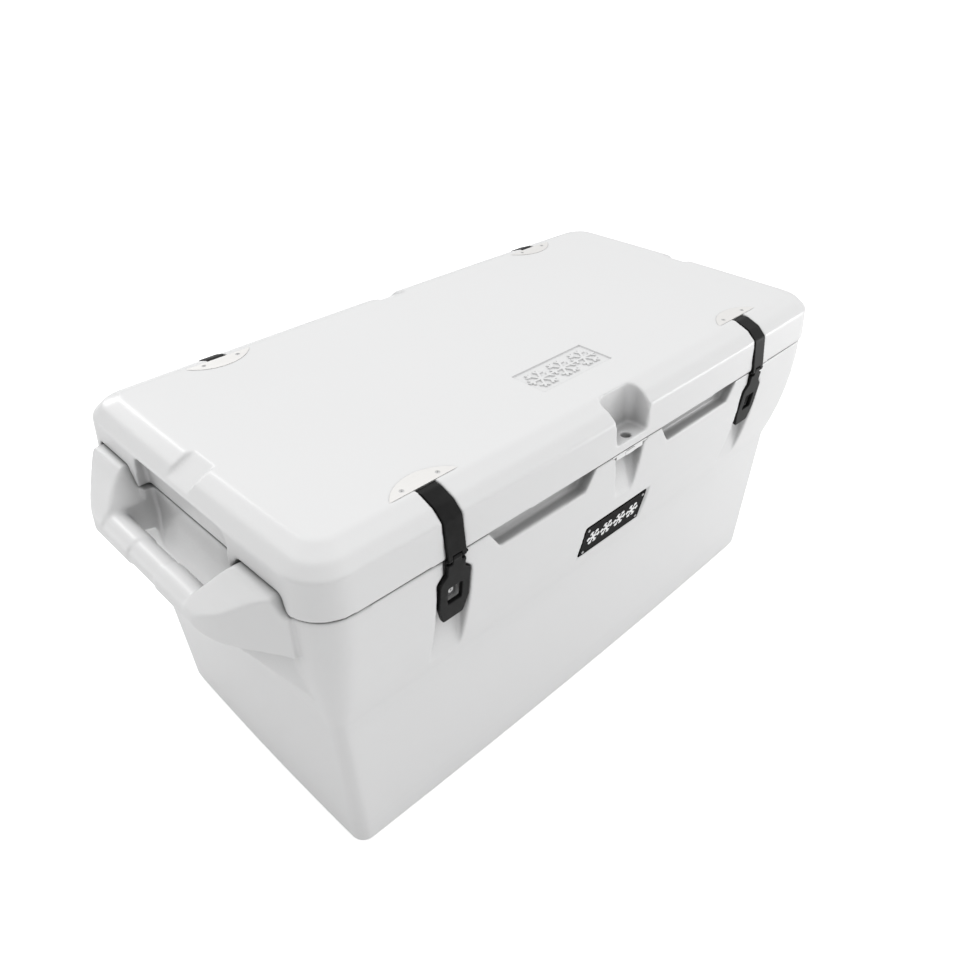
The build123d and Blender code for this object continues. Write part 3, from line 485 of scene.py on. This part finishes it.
def bars_mesh(bars, name):
    """One mesh holding a closed box for every bar."""
    box_faces = ((3, 2, 1, 0), (4, 5, 6, 7), (0, 1, 5, 4), (1, 2, 6, 5), (2, 3, 7, 6), (3, 0, 4, 7))
    points, polygons = [], []
    for corners in bars:
        base = len(points)
        points.extend(corners)
        polygons.extend([tuple(base + corner for corner in face) for face in box_faces])
    mesh = bpy.data.meshes.new(name)
    mesh.from_pydata(points, [], polygons)
    return mesh


# The lid's emblem: the panel's half size, middle and depth, then the reach, arm width and spacing of
# its three snowflakes, the width of every edge, and how far around it the mesh is made finer
EMBLEM_HALF = (69 * MM, 29.5 * MM)
EMBLEM_Y = -138 * MM
EMBLEM_DEPTH = 1.7 * MM
EMBLEM_FLAKE = (21 * MM, 3.6 * MM)
EMBLEM_PITCH = 43 * MM
EMBLEM_EDGE = 0.5 * MM
EMBLEM_MARGIN = 3 * MM
EMBLEM_CUTS = 3


def sink_emblem(piece):
    """Cut the panel crisply into the lid's top, leaving the snowflakes standing."""
    top = cad_high[2]
    bm = bmesh.new()
    bm.from_mesh(piece.data)

    def near(co):
        return (
            abs(co.x) < EMBLEM_HALF[0] + EMBLEM_MARGIN
            and abs(co.y - EMBLEM_Y) < EMBLEM_HALF[1] + EMBLEM_MARGIN
            and co.z > top - EMBLEM_MARGIN
        )

    edges = [edge for edge in bm.edges if near(edge.verts[0].co) and near(edge.verts[1].co)]
    bmesh.ops.subdivide_edges(bm, edges=edges, cuts=EMBLEM_CUTS, use_grid_fill=True)
    verts = [vert for vert in bm.verts if near(vert.co)]
    x = np.array([vert.co.x for vert in verts])
    y = np.array([vert.co.y for vert in verts]) - EMBLEM_Y
    inside = np.minimum(EMBLEM_HALF[0] - np.abs(x), EMBLEM_HALF[1] - np.abs(y))
    from_flake = x - EMBLEM_PITCH * np.clip(np.round(x / EMBLEM_PITCH), -1, 1)
    clear = flake_distance(from_flake, y, *EMBLEM_FLAKE)
    sunk = np.clip(np.minimum(inside, clear) / EMBLEM_EDGE, 0, 1)
    for vert, share in zip(verts, sunk):
        vert.co.z = top - EMBLEM_DEPTH * share
    bm.to_mesh(piece.data)
    bm.free()


# The badge's snowflakes: reach and arm width, spacing, how many, how far they stand out of the sunken
# face, how far that face lies under the plate's rim, and the size of their mesh's cells
BADGE_FLAKE = (13.5 * MM, 3.2 * MM)
BADGE_PITCH = 29 * MM
BADGE_FLAKES = 4
BADGE_PRINT = 0.25 * MM
BADGE_SINK = 0.4 * MM
BADGE_VOXEL, BADGE_ROUNDS = 0.22 * MM, 1


def badge_motif():
    """A row of plain snowflakes standing slightly proud of the badge's sunken face."""
    plate = NODES["badge_plate"].data
    points = np.array([vert.co for vert in plate.vertices])
    centre = (points.min(0) + points.max(0)) / 2
    normal = Vector(np.linalg.svd(points - points.mean(0), full_matrices=False)[2][2])
    if normal.y > 0:
        normal.negate()
    up = Vector((0, -normal.z, normal.y)).normalized()
    if up.z < 0:
        up.negate()
    across = up.cross(normal)
    face = ((points - centre) @ np.array(normal)).max() - BADGE_SINK
    bars = []
    for index in range(BADGE_FLAKES):
        from_middle = (index - (BADGE_FLAKES - 1) / 2) * BADGE_PITCH
        bars.extend(flake_bars(Vector((from_middle, 0)), *BADGE_FLAKE, BADGE_PRINT))
    source = link(bpy.data.objects.new("badge_motif_source", bars_mesh(bars, "badge_motif_bars")))
    mesh = even_mesh(source, "badge_motif", BADGE_VOXEL, BADGE_ROUNDS)
    origin = Vector(centre) + normal * face
    for vert in mesh.vertices:
        vert.co = origin + across * vert.co.x + up * vert.co.y + normal * vert.co.z
    mesh.update()
    mesh.materials.append(MATERIALS["badge_print"])
    piece = link(bpy.data.objects.new("badge_motif", mesh))
    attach(piece, BODY_OF["badge_plate"])


# ---- Pieces ----
# Cell size and smoothing rounds of each rebuilt mesh
SHELL_MESH = ((2 * MM, 3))
STRAP_MESH = (0.7 * MM, 2)
TONGUE_MESH = (0.7 * MM, 3)
KEEPER_MESH = (0.5 * MM, 3)

# Edge rounding of the CAD nodes that stay, by the start of the node's name
SMALL_EDGES = {
    "latch_pin": 0.3 * MM,
    "lock_plate": 0.35 * MM,
    "badge_plate": 0.25 * MM,
    "badge_rivets": 0.4 * MM,
    "plate_screws": 0.25 * MM,
    "keeper_screws": 0.25 * MM,
    "drain": 0.4 * MM,
    "foot": 0.3 * MM,
    "lid_gasket": 0.5 * MM,
}
for node, obj in NODES.items():
    paint(obj, SLOT_OF[node])
    widths = [width for start, width in SMALL_EDGES.items() if node.startswith(start)]
    if widths:
        rounded(node, widths[0])

soft_piece("body_shell", "body_moulding", *SHELL_MESH)
sink_emblem(soft_piece("lid_shell", "lid_moulding", *SHELL_MESH))
badge_motif()
for corner in CORNERS:
    soft_piece("latch_strap_" + corner, "strap_" + corner, *STRAP_MESH)
    soft_piece("latch_tongue_" + corner, "tongue_" + corner, *TONGUE_MESH)
    soft_piece("latch_keeper_" + corner, "keeper_" + corner, *KEEPER_MESH)


# ---- Stage, light and camera ----
# The floor's half width and its drop below the feet, its two tones, and its own light: the camera sees
# FLOOR_GLOW, and the chest is lit by the light that the floor throws back plus FLOOR_UPLIGHT
FLOOR_HALF = 60.0
FLOOR_DROP = 0.2 * MM
FLOOR_DULL, FLOOR_CLEAN = grey(0.93), grey(0.95)
FLOOR_GLOW = 0.5
FLOOR_BOUNCE = 0.8
FLOOR_UPLIGHT = 0.1

# The dome's brightest direction, its strength at the dark and the bright end, and how far from facing
# away the ramp between them starts and ends, as cosines
SKY_PEAK = (0.2, 0.06, 1.0)
SKY_RANGE = (0.06, 1.28)
SKY_RAMP = (-0.12, 1.0)


def area_light(name, spot, target, size, power):
    data = bpy.data.lights.new(name, "AREA")
    data.shape = "RECTANGLE"
    data.size, data.size_y = size
    data.energy = power
    lamp = link(bpy.data.objects.new(name, data))
    lamp.location = spot
    lamp.rotation_euler = (Vector(target) - Vector(spot)).to_track_quat("-Z", "Y").to_euler()


def build_stage():
    """A pale seamless floor far wider than the chest, bright enough to fall away to white."""
    mesh = bpy.data.meshes.new("floor")
    corners = [(x * FLOOR_HALF, y * FLOOR_HALF, 0) for x, y in ((-1, -1), (1, -1), (1, 1), (-1, 1))]
    mesh.from_pydata(corners, [], [(0, 1, 2, 3)])
    floor = link(bpy.data.objects.new("floor", mesh))
    floor.location.z = cad_low[2] - FLOOR_DROP
    shader = Shader("pale_floor")
    shader.color(shader.mix(shader.noise(scale=3.0), FLOOR_DULL, FLOOR_CLEAN))
    shader.set(Roughness=0.9, Emission_Color=(*WHITE, 1.0), Emission_Strength=FLOOR_GLOW)
    bounce = shader.node("ShaderNodeBsdfDiffuse")
    bounce.inputs["Color"].default_value = (*grey(FLOOR_BOUNCE), 1.0)
    glow = shader.node("ShaderNodeEmission")
    glow.inputs["Strength"].default_value = FLOOR_UPLIGHT
    lit = shader.node("ShaderNodeAddShader")
    shader.link(bounce.outputs["BSDF"], lit.inputs[0])
    shader.link(glow.outputs["Emission"], lit.inputs[1])
    choose = shader.node("ShaderNodeMixShader")
    shader.link(shader.node("ShaderNodeLightPath").outputs["Is Camera Ray"], choose.inputs["Fac"])
    shader.link(lit.outputs["Shader"], choose.inputs[1])
    shader.link(shader.surface.outputs["BSDF"], choose.inputs[2])
    shader.link(choose.outputs["Shader"], shader.output.inputs["Surface"])
    mesh.materials.append(shader.material)


def build_sky():
    """A soft studio dome, brightest towards SKY_PEAK; the camera itself sees plain white."""
    world = bpy.data.worlds.new("studio")
    world.use_nodes = True
    tree = world.node_tree
    tree.nodes.clear()
    toward = tree.nodes.new("ShaderNodeTexCoord")
    facing = tree.nodes.new("ShaderNodeVectorMath")
    facing.operation = "DOT_PRODUCT"
    facing.inputs[1].default_value = Vector(SKY_PEAK).normalized()
    ramp = tree.nodes.new("ShaderNodeMapRange")
    ramp.interpolation_type = "SMOOTHSTEP"
    ramp.inputs["From Min"].default_value, ramp.inputs["From Max"].default_value = SKY_RAMP
    ramp.inputs["To Min"].default_value, ramp.inputs["To Max"].default_value = SKY_RANGE
    ray = tree.nodes.new("ShaderNodeLightPath")
    seen = tree.nodes.new("ShaderNodeMix")
    seen.inputs[FLOAT_SECOND].default_value = 1.0
    sky = tree.nodes.new("ShaderNodeBackground")
    sky.inputs["Color"].default_value = (*WHITE, 1.0)
    output = tree.nodes.new("ShaderNodeOutputWorld")
    tree.links.new(toward.outputs["Generated"], facing.inputs[0])
    tree.links.new(facing.outputs["Value"], ramp.inputs["Value"])
    tree.links.new(ray.outputs["Is Camera Ray"], seen.inputs[MIX_FACTOR])
    tree.links.new(ramp.outputs["Result"], seen.inputs[FLOAT_FIRST])
    tree.links.new(seen.outputs[FLOAT_RESULT], sky.inputs["Strength"])
    tree.links.new(sky.outputs["Background"], output.inputs["Surface"])
    bpy.context.scene.world = world


build_stage()
build_sky()

# The camera and the strip light aim at the chest's middle, a little under half way up
AIM_SHARE = 0.472
centre = Vector((0, 0, cad_low[2] + AIM_SHARE * (cad_high[2] - cad_low[2])))
area_light("end_strip", spot=(-0.35, 2.6, 1.9), target=centre, size=(0.35, 1.8), power=14)
area_light("front_fill", spot=(2.0, -1.6, 0.4), target=(0.35, -0.2, 0.15), size=(1.2, 0.7), power=14)
area_light("end_fill", spot=(-1.9, 1.7, 0.6), target=(-0.5, 0.0, 0.2), size=(0.9, 0.9), power=4)

VIEW_AZIMUTH, VIEW_ELEVATION = math.radians(-45), math.radians(35.264)
VIEW_DISTANCE = 1.356
SENSOR_WIDTH, FOCAL_LENGTH = 36.0, 30.64
camera_data = bpy.data.cameras.new("camera")
camera_data.sensor_width = SENSOR_WIDTH
camera_data.lens = FOCAL_LENGTH
camera = link(bpy.data.objects.new("camera", camera_data))
toward_camera = Vector((
    math.sin(VIEW_AZIMUTH) * math.cos(VIEW_ELEVATION),
    -math.cos(VIEW_AZIMUTH) * math.cos(VIEW_ELEVATION),
    math.sin(VIEW_ELEVATION),
))
camera.location = centre + VIEW_DISTANCE * toward_camera
camera.rotation_euler = (-toward_camera).to_track_quat("-Z", "Y").to_euler()
bpy.context.scene.camera = camera
bpy.context.scene.view_settings.view_transform = "Standard"
